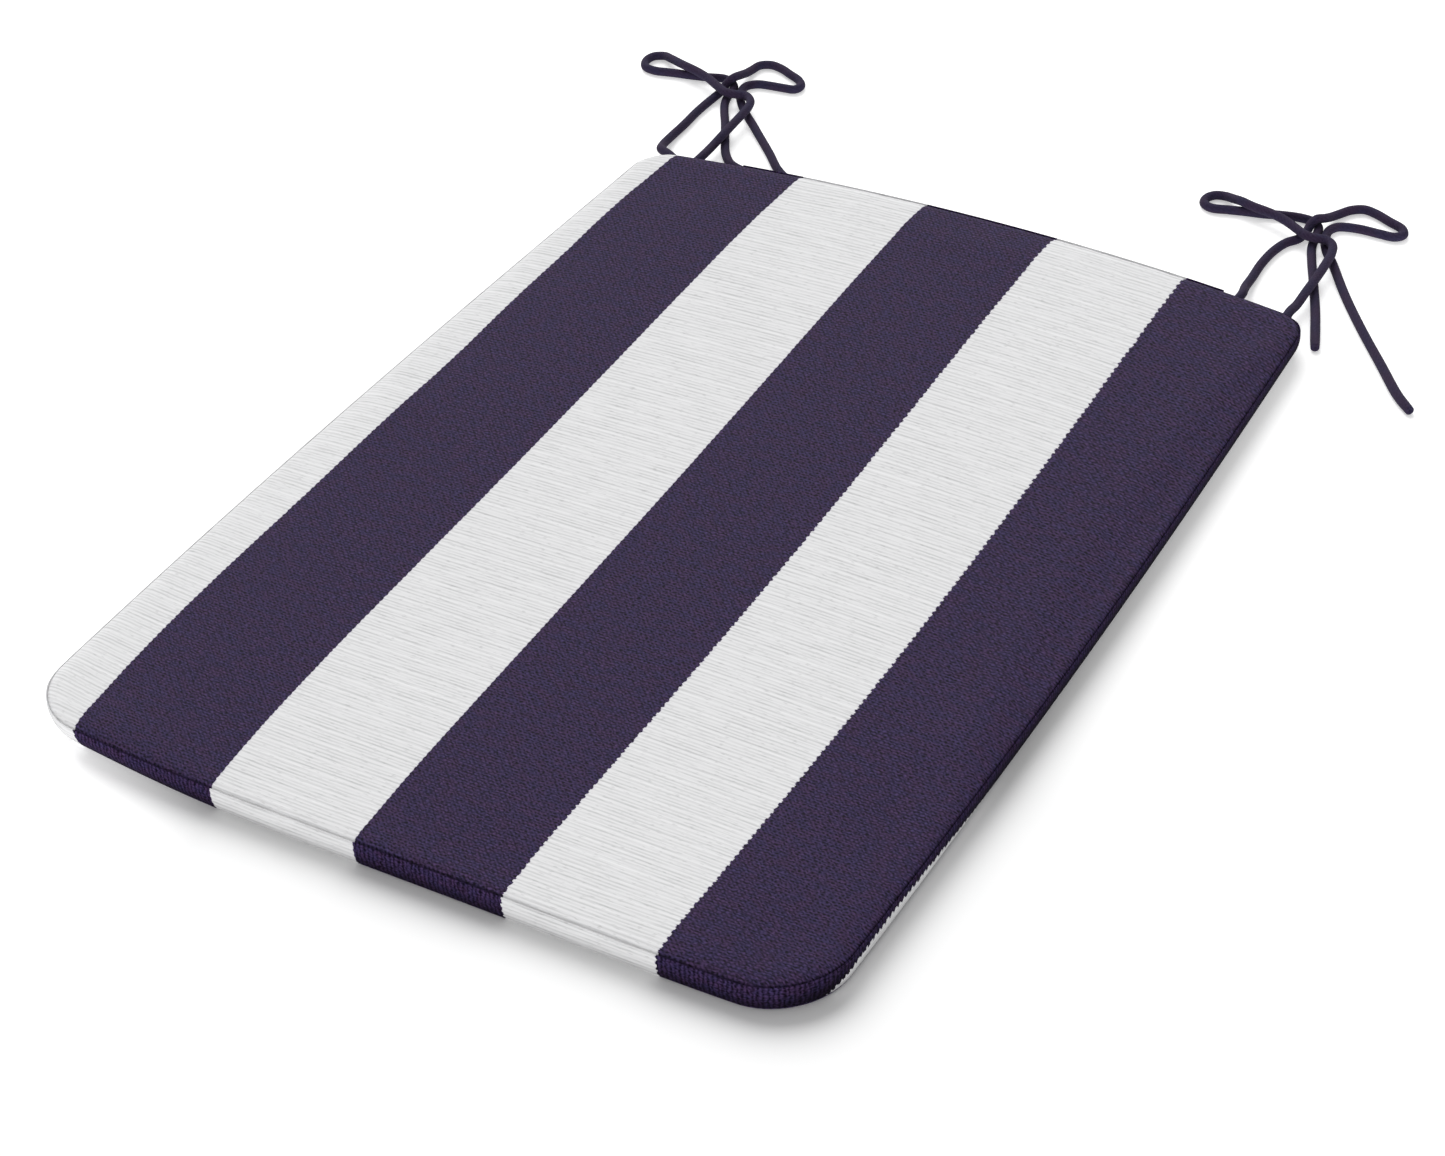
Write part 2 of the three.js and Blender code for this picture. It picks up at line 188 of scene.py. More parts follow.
# Where the filling draws the lower part of the sides under. A pair gives where a change
# starts and where it is full; a spot has its middle and its reach along X and along Y.
RIGHT_DRAW_IN = 0.0019
RIGHT_DRAW_WAY = (0.0, 2 / 3)
RIGHT_DRAW_RUN = (-0.29, -0.13)
CORNER_DRAW_IN = 0.0036
CORNER_SPOT = ((-0.185, 0.075), (-0.275, 0.05))
DRAWN_EDGE = (1.1 * UNDERSIDE_ROLL, 0.1 * UNDERSIDE_ROLL)

# Where the top panel rolls right over the lip of the strips, on the left and the back.
FAR_LIP_DROP = 0.0010
FAR_WAY = (-2.0, 3.0)
FAR_TURN = (0.4, 1.4)
FAR_LIP = (0.0115, 0.0135)

TOP_INSETS = (
    0.0015, 0.0021, 0.0029, 0.004, 0.0054, 0.0072, 0.0095, 0.0125, 0.016, 0.020, 0.025, 0.031,
    0.038, 0.046, 0.055, 0.065, 0.075, 0.085, 0.095, 0.105, 0.115, 0.125, 0.135, 0.145, 0.155,
    0.165, 0.175, 0.185, 0.195,
)
UNDERSIDE_INSETS = (0.025, 0.045, 0.075, 0.110, 0.150, 0.195)
RING = 4 * CORNER_STEPS + 4 + 2 * (END_STEPS - 1) + 2 * (SIDE_STEPS - 1)

# The round cords. The tail widens by a share within a reach of its end, and the very end is
# squeezed in; the end's rings have a share of the width, how far out they stand, and their
# distance along the cloth.
CORD_SIDES = 20
CORD_STEP = 0.0011
CURVE_STEPS = 24
TAIL_WIDER, TAIL_REACH = 0.08, 0.06
END_SQUEEZE, END_REACH = 0.14, 0.006
CORD_END = (
    (0.93, 0.0003, 0.0003), (0.72, 0.00045, 0.0008), (0.45, 0.0001, 0.0015), (0.2, -0.0004, 0.002),
)
END_HOLLOW = 0.0006
END_CLOTH = 0.0025

# The filling is settled by a cloth simulation of the blank pad.
BLANK_CROWN = 0.5
VOXEL = 0.005
SEWN_BELOW = 0.011
SEWN_WITHIN = 0.004
CLOTH_QUALITY = 5
CLOTH_MASS = 0.15
PRESSURE = 4.0
LAST_FRAME = 20
MOST_LIFT = 0.0025
LIFT_EASE = 0.012
PUCKER = 0.00012
PUCKER_PITCHES = (0.021, 0.013, 0.0087, 0.034)
PUCKER_REACH = 0.006
PUCKER_EASE = 0.0015
PUCKER_SEED = 7

# The weave, with lengths in metres and waves in turns per metre.
ROW_STRETCH = 0.77
TWILL_WAVES = (((445, 394), 0.38), ((0, 526), 0.45), ((453, -124), 0.20), ((222, 197), 0.07))
TWILL_WANDER = 8.0
TWILL_SHADE = 0.85
SPECKLE = 0.80
SPECKLE_RUN = (0.2, 0.8)
DARKEST = 0.15
STRIP_RIB_PITCH = 0.00215
STRIP_CELL_PITCH = 0.0017
# Weights of the ribs, the cells and both together.
STRIP_WEIGHTS = (0.62, 0.16, 0.22)
TIE_PITCHES = (0.00085, 0.00095)
TIE_SLANT = (560, 330)
# Weights of the yarns, the slant and the speckle.
TIE_SHADES = (0.10, 0.08, 0.25)
TIE_HEIGHTS = (0.4, 0.3)
TIE_RELIEF = 0.6

# Grains of each noise in a metre of cloth, across it and along it.
GRAINS = {
    "wander": (60, 420), "fray": (300, 1500), "warp": (420, 420), "speckle": (520, 1000),
    "heather": (120, 170), "drift": (9, 120), "fade": (55, 900), "slub": (260, 1300),
    "tie speckle": (700, 700), "tie heather": (90, 60),
}

# Ragged edge of the stripes: its teeth and its loose fibres, and how ragged each change of
# stripe is, from the left one to the right one.
TOOTH_PITCH = 0.0042
TOOTH_DEPTH = 0.00035
TOOTH_WANDER = 5.0
TOOTH_SLOPE = (-0.5, 0.6)
FRAY_DEPTH = 0.00035
FRAY_RUN = (0.25, 0.75)
EDGE_RAGS = (
    (0.0, 0.55), (0.083, 0.55), (0.17, 0.40), (0.5, 0.40), (0.583, 0.85), (0.75, 1.0),
    (0.917, 2.0), (1.0, 2.0),
)
FRINGE = (0.40, 0.36, 0.50)
FRINGE_REACH = (0.0001, 0.0007)
FRINGE_SHARE = 0.30

# Waves that make the ribs of the pale stripes: turns in a repeat, weight and phase.
RIB_LEVEL = 0.526
RIB_WAVES = (
    (1, 0.059, 37.0), (2, 0.085, 13.2), (3, 0.183, 10.3), (4, 0.344, 5.4), (5, 0.185, -170.0))
RIB_STOPS = 26
RIB_WANDER = 0.0012
FADED_RIB = 0.75
FADE_RUN = (0.32, 0.68)
PALE_LEVELS = (0.695, 1.125)
SLUB_SHADE = 0.84
SLUB_RUN = (0.66, 0.76)
RED_HEATHER = (1.13, 0.98, 0.97)
BLUE_HEATHER = (0.89, 1.0, 1.04)
HEATHER_RUN = (0.36, 0.64)
TIE_HEATHER_RUN = (0.35, 0.65)
PALE_ROUGHNESS, DARK_ROUGHNESS, TIE_ROUGHNESS = 0.9, 0.82, 0.85
SPECULAR, SHEEN, SHEEN_ROUGHNESS = 0.1, 0.02, 0.6
STRIP_SHINE = 0.2

# Painted shade down a strip, from its top to its lower seam by the floor. The cloth on the right
# side faces away from the light, and has painted shade of its own: a ramp for the dark, a factor
# for the pale.
STRIP_HEIGHT = 0.0131
PALE_STRIP_PAINTED_SHADE = ((0.0, 1.0), (0.35, 1.0), (0.75, 0.80), (1.0, 0.62))
DARK_STRIP_PAINTED_SHADE = ((0.0, 1.0), (0.35, 0.85), (0.75, 0.42), (1.0, 0.25))
RIGHT_SIDE_PAINTED_SHADE = ((0.0, 0.75), (0.19, 0.48), (0.30, 0.33), (0.46, 0.16), (0.61, 0.07), (1.0, 0.05))
PALE_RIGHT_SIDE_PAINTED_SHADE = 0.85
PAINTED_SHADE_SIDE_RUN = (0.180, 0.200)

# The floor, and the stretches over which its glow grows or fades. The glow is painted light that
# lifts the shadows behind the pad and at its front left corner.
FLOOR_REACH = 4.0
FLOOR_DROP = 0.0001
BACK_GLOW_RUN = (-0.115, 0.33)
LEFT_GLOW_RUN = (-0.09, -0.17)
LEFT_GLOW_FADE = (-0.20, 0.0)
LIGHT_AWAY = 2.0

SeamPlace = namedtuple("SeamPlace", "foot out inside along total")


def length(name, description, default, low, high):
    return bpy.props.FloatProperty(
        name=name, description=description, default=default, min=low, max=high, unit="LENGTH")


def strength(name, description, default, high):
    return bpy.props.FloatProperty(
        name=name, description=description, default=default, min=0.0, max=high)


def angle(name, description, degrees):
    return bpy.props.FloatProperty(
        name=name, description=description, default=math.radians(degrees), subtype="ANGLE")


def tint(name, description, default):
    return bpy.props.FloatVectorProperty(
        name=name, description=description, default=default, size=3, min=0.0, max=1.0,
        subtype="COLOR")


class PadSettings(bpy.types.PropertyGroup):
    """Sizes of the filled pad and of the strips sewn round it."""

    seam_height: length(
        "Seam height", "Height of the seam between the top panel and the boxing",
        0.0136, 0.005, 0.05)
    seam_inset: length(
        "Seam inset", "How far the top seam lies inside the boxing's widest line",
        0.0008, 0.0, 0.005)
    edge_roll: length(
        "Edge roll", "Height that the top panel gains straight off its seam", 0.0019, 0.0, 0.01)
    crown: length(
        "Crown", "Height that the middle of the top panel stands over its edge roll",
        0.0022, 0.0, 0.02)
    cloth: length(
        "Cloth thickness", "Thickness of the boxing and of the placket", 0.0012, 0.0003, 0.003)
    draw_in: length(
        "Draw in", "How far the boxing draws in at its lower seam", 0.0013, 0.0, 0.006)
    bulge: length(
        "Boxing bulge", "How far the filling pushes the middle of the boxing outwards",
        0.0006, 0.0, 0.004)
    fill: bpy.props.FloatProperty(
        name="Fill",
        description="How tightly the pad is filled, from slack to tight",
        default=0.55, min=0.0, max=1.0, subtype="FACTOR",
    )
    placket_from: length(
        "Placket left end", "Distance of the placket's left end from the pad's middle line",
        -0.132, -0.18, 0.0)
    placket_to: length(
        "Placket right end", "Distance of the placket's right end from the pad's middle line",
        0.153, 0.0, 0.18)


class ClothSettings(bpy.types.PropertyGroup):
    """Colours and weave of the striped canvas and of the tie cords."""

    pale: tint(
        "Pale stripe", "Colour of the off-white stripes", (0.690, 0.690, 0.697))
    dark: tint(
        "Dark stripe", "Colour of the dark purple blue stripes", (0.0280, 0.0175, 0.0510))
    tie: tint(
        "Tie cord", "Colour of the tie cords", (0.026, 0.019, 0.045))
    rib_repeat: length(
        "Rib repeat", "Distance in which the cross ribs of the pale stripes repeat",
        0.00937, 0.002, 0.03)
    relief: length(
        "Weave relief", "Height of the weave over the cloth", 0.00012, 0.0, 0.001)


class TieSettings(bpy.types.PropertyGroup):
    """Sizes of the round tie cords."""

    diameter: length(
        "Cord diameter", "Diameter of the round tie cords", 0.0050, 0.002, 0.01)
    tucked: length(
        "Tucked length", "Length of each cord that is caught in the seam of the back boxing",
        0.002, 0.0, 0.01)


class StageSettings(bpy.types.PropertyGroup):
    """Floor and light."""

    floor: tint(
        "Floor", "Colour of the plain floor", (0.95, 0.95, 0.95))
    back_glow: strength(
        "Back glow", "Light that the floor gives off behind the pad", 0.42, 2.0)
    left_glow: strength(
        "Left glow", "Light that the floor gives off at the pad's front left corner", 0.46, 2.0)
    sky: strength(
        "Sky light", "Strength of the even light from all round", 0.42, 5.0)
    key: strength(
        "Key light", "Strength of the broad soft light from behind the pad's left side",
        3.0, 20.0)
    key_turn: angle(
        "Key light turn", "Direction that the key light comes from, anticlockwise from +X", 132.0)
    key_rise: angle(
        "Key light rise", "Height of the key light over the horizon", 41.0)
    key_spread: angle(
        "Key light spread", "Width of the key light as seen from the pad", 54.0)
    fill: strength(
        "Fill light", "Strength of the low light on the front boxing", 1.5, 20.0)
    fill_turn: angle(
        "Fill light turn", "Direction that the fill light comes from, anticlockwise from +X",
        -62.0)
    fill_rise: angle(
        "Fill light rise", "Height of the fill light over the horizon", 9.0)
    fill_spread: angle(
        "Fill light spread", "Width of the fill light as seen from the pad", 16.0)


class NodeTree:
    """Adds nodes to a tree and links them."""

    def __init__(self, tree):
        self.tree = tree

    def add(self, kind, **settings):
        node = self.tree.nodes.new(kind)
        for name, value in settings.items():
            setattr(node, name, value)
        return node

    def feed(self, socket, value):
        if isinstance(value, bpy.types.NodeSocket):
            self.tree.links.new(value, socket)
        else:
            socket.default_value = value

    def made(self, kind, inputs, output=0, **settings):
        """An output of a new node with these inputs, each by its name or number."""
        node = self.add(kind, **settings)
        for name, value in inputs.items():
            self.feed(node.inputs[name], value)
        return node.outputs[output]

    def math(self, operation, *values):
        return self.made("ShaderNodeMath", dict(enumerate(values)), operation=operation)

    def plus(self, start, *terms):
        """A number with values added to it, each times its weight."""
        result = start
        for value, weight in terms:
            result = self.math("MULTIPLY_ADD", value, weight, result)
        return result

    def split(self, vector):
        node = self.add("ShaderNodeSeparateXYZ")
        self.feed(node.inputs[0], vector)
        return node.outputs["X"], node.outputs["Y"]

    def wave(self, uv, turns, shift=0.0):
        """Cosine with so many turns in a metre across and along the cloth."""
        way = (*(2 * math.pi * turn for turn in turns), 0)
        place = self.made("ShaderNodeVectorMath", {0: uv, 1: way}, "Value", operation="DOT_PRODUCT")
        return self.math("COSINE", self.math("ADD", place, shift))

    def noise(self, uv, grains, detail=2.0, roughness=0.5):
        """Noise with so many grains in a metre across and along the cloth."""
        place = self.made(
            "ShaderNodeVectorMath", {0: uv, 1: (*GRAINS[grains], 0)}, operation="MULTIPLY")
        inputs = {"Vector": place, "Scale": 1.0, "Detail": detail, "Roughness": roughness}
        return self.made("ShaderNodeTexNoise", inputs, "Fac", noise_dimensions="3D")

    def spread(self, value, low, high, to_low, to_high, smooth=False):
        kind = "SMOOTHSTEP" if smooth else "LINEAR"
        inputs = dict(enumerate((value, low, high, to_low, to_high)))
        return self.made("ShaderNodeMapRange", inputs, interpolation_type=kind, clamp=True)

    def mix(self, factor, first, second, blend="MIX"):
        inputs = {0: factor, 6: first, 7: second}
        return self.made("ShaderNodeMix", inputs, 2, data_type="RGBA", blend_type=blend)

    def blend(self, factor, first, second):
        return self.made("ShaderNodeMix", {0: factor, 2: first, 3: second}, data_type="FLOAT")

    def shaded(self, tone, level):
        """The colour made lighter or darker by a level."""
        grey = self.made("ShaderNodeCombineXYZ", {axis: level for axis in range(3)})
        return self.mix(1.0, tone, grey, blend="MULTIPLY")

    def ramp(self, value, stops):
        node = self.add("ShaderNodeValToRGB")
        self.feed(node.inputs["Fac"], value)
        elements = node.color_ramp.elements
        for place, _ in stops[1:-1]:
            elements.new(place)
        for element, (_, level) in zip(elements, stops):
            element.color = (level, level, level, 1.0)
        return node.outputs["Color"]


def colour(rgb):
    return (*rgb, 1.0)


def reach(line, along):
    """How far out a line of the pad lies at a place from -1 to 1 along it."""
    half, lean, bow, swing, ripple = line
    inner = 1 - along ** 2
    return half + lean * along + inner * (bow - swing * along + ripple * along ** 2)


def plan_point(u, v):
    """Place in plan of the point (u, v) of the flat pattern, both from -1 to 1."""
    left, right = -reach(PLAN["left"], v), reach(PLAN["right"], v)
    front, back = -reach(PLAN["front"], u), reach(PLAN["back"], u)
    x = left + (right - left) * (u + 1) / 2
    y = front + (back - front) * (v + 1) / 2
    return np.stack([x, y], axis=-1)


def seam_ring(inset):
    """Closed ring of plan points, anticlockwise, that follows the seam a distance inside it."""
    w, d = HALF_WIDTH - inset, HALF_DEPTH - inset
    largest = 0.9 * w
    right, back, left = (
        min(max(corner - inset, INNER_CORNER), largest)
        for corner in (FRONT_RIGHT_CORNER, BACK_CORNER, FRONT_LEFT_CORNER)
    )
    corners = (
        (w - right, -d + right, right, -90, SIDE_STEPS),
        (w - back, d - back, back, 0, END_STEPS),
        (-w + back, d - back, back, 90, SIDE_STEPS),
        (-w + left, -d + left, left, 180, END_STEPS),
    )
    arcs = []
    for x, y, radius, start, _ in corners:
        angle = np.radians(start + 90 * np.linspace(0, 1, CORNER_STEPS + 1))
        arcs.append(np.stack([x + radius * np.cos(angle), y + radius * np.sin(angle)], axis=1))
    ring = []
    for i, (arc, corner) in enumerate(zip(arcs, corners)):
        share = np.arange(1, corner[4])[:, None] / corner[4]
        ring += [arc, arc[-1] * (1 - share) + arcs[(i + 1) % 4][0] * share]
    flat = np.concatenate(ring)
    return plan_point(flat[:, 0] / HALF_WIDTH, flat[:, 1] / HALF_DEPTH)


def boxing_inset(pad, z):
    """How far inside the seam ring the boxing's outer face lies at a height."""
    drop = (BOXING_TOP - z) / (BOXING_TOP - BOTTOM_SEAM)
    return BOXING_TOP_INSET + pad.draw_in * drop ** 2 - pad.bulge * math.sin(math.pi * drop)


def grown(value, start, full):
    """0 up to where a change starts, 1 from where it is full, and straight between them."""
    return np.clip((value - start) / (full - start), 0, 1)


def drawn_in(points):
    """Moves the lower part of the right side and of the front left corner inwards, where the
    filling pulls them under."""
    place = nearest_on_seam(points[:, :2])
    low = grown(points[:, 2], BOXING_TOP, BOTTOM_SEAM) ** 2
    right = grown(place.out[:, 0], *RIGHT_DRAW_WAY) * grown(place.foot[:, 1], *RIGHT_DRAW_RUN)
    middle, spot = np.array(CORNER_SPOT).T
    corner = np.exp(-(((place.foot - middle) / spot) ** 2).sum(axis=1))
    amount = (RIGHT_DRAW_IN * right + CORNER_DRAW_IN * corner) * low
    moved = points.copy()
    moved[:, :2] -= place.out * (amount * grown(place.inside, *DRAWN_EDGE))[:, None]
    return moved


def low_far_lip(points):
    """Lowers the upper lip of a strip on the left and the back, where the top panel rolls
    right over the seam."""
    far = grown(nearest_on_seam(points[:, :2]).out @ FAR_WAY, *FAR_TURN)
    moved = points.copy()
    moved[:, 2] -= FAR_LIP_DROP * far * grown(points[:, 2], *FAR_LIP)
    return moved


def top_height(pad, inset):
    """Height of the top panel: a steep roll off the seam, then a gentle crown."""
    beyond = max(inset - pad.seam_inset, 0)
    roll = pad.edge_roll * (1 - math.exp(-beyond / ROLL_REACH))
    return pad.seam_height + roll + pad.crown * (1 - math.exp(-beyond / CROWN_REACH))


def stripe_place(x, y):
    """Distance across the flat cloth, from the first change of stripe, of a point in plan."""
    edges = [reach(line, np.clip(y / HALF_DEPTH, -1.02, 1.02)) for line in STRIPE_EDGES]
    across = np.zeros_like(x)
    last = len(edges) - 2
    for i, (left, right) in enumerate(zip(edges, edges[1:])):
        share = (x - left) / (right - left)
        inside = (share >= 0 if i else True) & (share < 1 if i < last else True)
        across = np.where(inside, STRIPE_WIDTH * (i + share), across)
    return across


def cloth_row(x, y):
    """Distance along the flat cloth of a point in plan; the rows bend with the front and the
    back edge, and lie wider apart towards the back."""
    u = np.clip(x / HALF_WIDTH, -1.05, 1.05)
    front, back = -reach(PLAN["front"], u), reach(PLAN["back"], u)
    row = HALF_DEPTH * (2 * (y - front) / (back - front) - 1)
    return (1 - np.exp(-ROW_STRETCH * row)) / ROW_STRETCH


def linked(name, data):
    """New object in the scene, at the origin and unturned."""
    thing = bpy.data.objects.new(name, data)
    bpy.context.scene.collection.objects.link(thing)
    return thing


def mesh_object(name, points, faces, material=None):
    mesh = bpy.data.meshes.new(name)
    mesh.from_pydata([tuple(map(float, p)) for p in points], [], faces)
    mesh.validate()
    mesh.polygons.foreach_set("use_smooth", [True] * len(mesh.polygons))
    if material:
        mesh.materials.append(material)
    return linked(name, mesh)


def evaluated_mesh(thing):
    """Plain mesh of an object with its modifiers applied."""
    depsgraph = bpy.context.evaluated_depsgraph_get()
    return bpy.data.meshes.new_from_object(thing.evaluated_get(depsgraph), depsgraph=depsgraph)


def ring_faces(rings, count):
    """Faces between rings of the same count; the ends are closed with a fan each."""
    faces = []
    first, last = rings * count, (rings - 1) * count
    turns = [(i, (i + 1) % count) for i in range(count)]
    for here in range(0, last, count):
        there = here + count
        faces += [(here + i, there + i, there + j, here + j) for i, j in turns]
    for i, j in turns:
        faces.append((i, j, first))
        faces.append((last + j, last + i, first + 1))
    return faces


def vertices_of(mesh):
    points = np.empty(len(mesh.vertices) * 3)
    mesh.vertices.foreach_get("co", points)
    return points.reshape(-1, 3)


def faces_outwards(mesh):
    """Turns the faces of a closed mesh round if they point inwards."""
    points = vertices_of(mesh)
    volume = 0.0
    for face in mesh.polygons:
        first, *others = (points[i] for i in face.vertices)
        for second, third in zip(others, others[1:]):
            volume += float(np.dot(first, np.cross(second, third)))
    if volume < 0:
        mesh.flip_normals()
    return mesh


def nearest_on_seam(points):
    """For each point in plan: its nearest seam point, the way out from it, how far off it is,
    the distance along the seam from the middle of the back edge, and the seam's length."""
    ring = seam_ring(0.0)
    back = int(np.argmin(np.where(ring[:, 1] > 0, np.abs(ring[:, 0]), np.inf)))
    ring = np.roll(ring, -back, axis=0)
    side = np.roll(ring, -1, axis=0) - ring
    size = np.linalg.norm(side, axis=1)
    along = np.concatenate([[0], np.cumsum(size)])
    tangent = side / size[:, None]
    smooth = tangent + np.roll(tangent, 1, axis=0)
    smooth /= np.linalg.norm(smooth, axis=1)[:, None]
    ahead = np.roll(smooth, -1, axis=0)
    feet, outs, distances = [], [], []
    for part in np.array_split(points, max(1, len(points) // 2000)):
        offset = part[:, None, :] - ring[None]
        share = np.clip((offset * side).sum(-1) / size ** 2, 0, 1)
        foot = ring + share[..., None] * side
        pick = np.argmin(((part[:, None, :] - foot) ** 2).sum(-1), axis=1)
        rows = np.arange(len(part))
        t = share[rows, pick]
        turned = smooth[pick] * (1 - t)[:, None] + ahead[pick] * t[:, None]
        turned /= np.linalg.norm(turned, axis=1)[:, None]
        feet.append(foot[rows, pick])
        outs.append(np.stack([turned[:, 1], -turned[:, 0]], axis=1))
        distances.append(along[pick] + t * size[pick])
    foot = np.concatenate(feet)
    inside = np.linalg.norm(points - foot, axis=1)
    return SeamPlace(foot, np.concatenate(outs), inside, np.concatenate(distances), along[-1])


def write_uv(mesh, name, across, along, wrap=None):
    """Writes a UV map in metres. Where the first number wraps round, faces are kept whole."""
    layer = mesh.uv_layers.new(name=name)
    for face in mesh.polygons:
        values = [across[mesh.loops[k].vertex_index] for k in face.loop_indices]
        far = wrap is not None and max(values) - min(values) > wrap / 2
        for k, value in zip(face.loop_indices, values):
            if far and value < wrap / 2:
                value += wrap
            layer.data[k].uv = (value, along[mesh.loops[k].vertex_index])


def lay_flat_cloth(mesh, plan):
    """Cloth map that runs the stripes straight over the flat places of the points."""
    x, y = plan[:, 0], plan[:, 1]
    write_uv(mesh, FLAT_UV, stripe_place(x, y), cloth_row(x, y))


def lay_strip_cloth(mesh):
    """Cloth maps of a strip sewn round the pad: the stripes run on down it from the top
    panel, and the ribs follow the strip."""
    points = vertices_of(mesh)
    place = nearest_on_seam(points[:, :2])
    drop = np.maximum(BOXING_TOP - points[:, 2], 0)
    lay_flat_cloth(mesh, place.foot + place.out * drop[:, None])
    write_uv(mesh, STRIP_UV, place.along, drop, wrap=place.total)


def finish_piece(piece, node):
    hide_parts(node)
    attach(piece, BODY)


def smooth_route(points, step):
    """Centripetal Catmull-Rom curve through the points, resampled at an even step."""
    points = np.asarray(points, dtype=float)
    points = np.vstack([2 * points[0] - points[1], points, 2 * points[-1] - points[-2]])
    curve = []
    for p0, p1, p2, p3 in zip(points, points[1:], points[2:], points[3:]):
        chords = (p1 - p0, p2 - p1, p3 - p2)
        d0, d1, d2 = (max(np.linalg.norm(chord) ** 0.5, 1e-6) for chord in chords)
        m1 = ((p1 - p0) / d0 - (p2 - p0) / (d0 + d1) + (p2 - p1) / d1) * d1
        m2 = ((p2 - p1) / d1 - (p3 - p1) / (d1 + d2) + (p3 - p2) / d2) * d1
        t = np.linspace(0, 1, CURVE_STEPS, endpoint=False)[:, None]
        curve.append(
            p1 * (2 * t ** 3 - 3 * t ** 2 + 1) + m1 * (t ** 3 - 2 * t ** 2 + t)
            + p2 * (3 * t ** 2 - 2 * t ** 3) + m2 * (t ** 3 - t ** 2)
        )
    curve = np.vstack([*curve, points[-2:-1]])
    along = np.concatenate([[0], np.cumsum(np.linalg.norm(np.diff(curve, axis=0), axis=1))])
    even = np.linspace(0, along[-1], int(along[-1] / step) + 1)
    return np.stack([np.interp(even, along, curve[:, axis]) for axis in range(3)], axis=1), even


def cord_frames(path):
    """Tangent, side and top of the cord at each point, without twist."""
    tangent = np.gradient(path, axis=0)
    tangent /= np.linalg.norm(tangent, axis=1)[:, None]
    side = np.cross(tangent[0], (0, 0, 1))
    side /= np.linalg.norm(side)
    sides = [side]
    for t in tangent[1:]:
        side = side - t * np.dot(side, t)
        side /= np.linalg.norm(side)
        sides.append(side)
    sides = np.array(sides)
    return tangent, sides, np.cross(sides, tangent)


def tie_mesh(name, route, ties, material):
    """Woven tube swept along its route, its free end cut square and pressed a little flat."""
    path, along = smooth_route(route, CORD_STEP)
    tangent, side, top = cord_frames(path)
    path = np.vstack([path[0] - tangent[0] * ties.tucked, path])
    along = np.concatenate([[0], along + ties.tucked])
    side, top = (np.vstack([way[:1], way]) for way in (side, top))
    turn = 2 * math.pi * np.arange(CORD_SIDES) / CORD_SIDES
    left = along[-1] - along
    tail = 1 + TAIL_WIDER * np.clip(1 - left / TAIL_REACH, 0, 1)
    radius = ties.diameter / 2 * (tail - END_SQUEEZE * np.exp(-left / END_REACH))
    rings = [
        point + r * (np.cos(turn)[:, None] * s + np.sin(turn)[:, None] * t)
        for point, s, t, r in zip(path, side, top, radius)
    ]
    end, way = path[-1], tangent[-1]
    rings += [end + way * out + (rings[-1] - end) * share for share, out, _ in CORD_END]
    points = np.vstack([*rings, path[:1], [end - way * END_HOLLOW]])
    points[:, 2] = np.maximum(points[:, 2], 0)
    piece = mesh_object(name, points, ring_faces(len(rings), CORD_SIDES), material)
    faces_outwards(piece.data)
    cloth = np.concatenate([along, [along[-1] + row[2] for row in CORD_END]])
    girth = ties.diameter * math.pi
    around = np.append(np.tile(np.arange(CORD_SIDES) * girth / CORD_SIDES, len(rings)), [0, 0])
    lengths = np.append(np.repeat(cloth, CORD_SIDES), [0, along[-1] + END_CLOTH])
    write_uv(piece.data, STRIP_UV, around, lengths, wrap=girth)
    return piece, path, along[-1]


def new_material(name):
    material = bpy.data.materials.new(name)
    material.use_nodes = True
    material.node_tree.nodes.clear()
    tree = NodeTree(material.node_tree)
    surface = tree.add("ShaderNodeBsdfPrincipled")
    out = tree.add("ShaderNodeOutputMaterial")
    tree.feed(out.inputs["Surface"], surface.outputs["BSDF"])
    return material, tree, surface


def dress(tree, surface, inputs):
    for name, value in inputs.items():
        tree.feed(surface.inputs[name], value)


def dress_cloth(tree, surface, base, height, relief, roughness, shine=1.0):
    bump = {"Strength": 1.0, "Distance": relief, "Height": height}
    dress(tree, surface, {
        "Base Color": base,
        "Roughness": roughness,
        "Normal": tree.made("ShaderNodeBump", bump),
        "Specular IOR Level": SPECULAR * shine,
        "Sheen Weight": SHEEN * shine,
        "Sheen Roughness": SHEEN_ROUGHNESS,
    })


def cloth_map(tree, name):
    """A UV map, and its distances across and along the cloth."""
    uv = tree.add("ShaderNodeUVMap", uv_map=name).outputs["UV"]
    return uv, *tree.split(uv)


def object_place(tree):
    return tree.split(tree.add("ShaderNodeTexCoord").outputs["Object"])


def stripe_mask(tree, across, along, uv):
    """1 on the dark stripes, and how near a change of stripe is; the edges are ragged."""
    change = tree.spread(across, -0.5 * STRIPE_WIDTH, 5.5 * STRIPE_WIDTH, 0, 1)
    wander = tree.noise(uv, "wander", detail=1)
    turn = tree.plus(0.0, (along, 2 * math.pi / TOOTH_PITCH), (wander, TOOTH_WANDER))
    tooth = tree.spread(tree.math("SINE", turn), *TOOTH_SLOPE, -1, 1)
    fray = tree.spread(tree.noise(uv, "fray", detail=1), *FRAY_RUN, -1, 1)
    ragged = tree.plus(0.0, (tooth, TOOTH_DEPTH), (fray, FRAY_DEPTH))
    place = tree.math("MULTIPLY_ADD", ragged, tree.ramp(change, EDGE_RAGS), across)
    share = tree.math("FRACT", tree.math("DIVIDE", place, 2 * STRIPE_WIDTH))
    mask = tree.math("LESS_THAN", share, 0.5)
    return mask, tree.math("PINGPONG", place, STRIPE_WIDTH / 2)


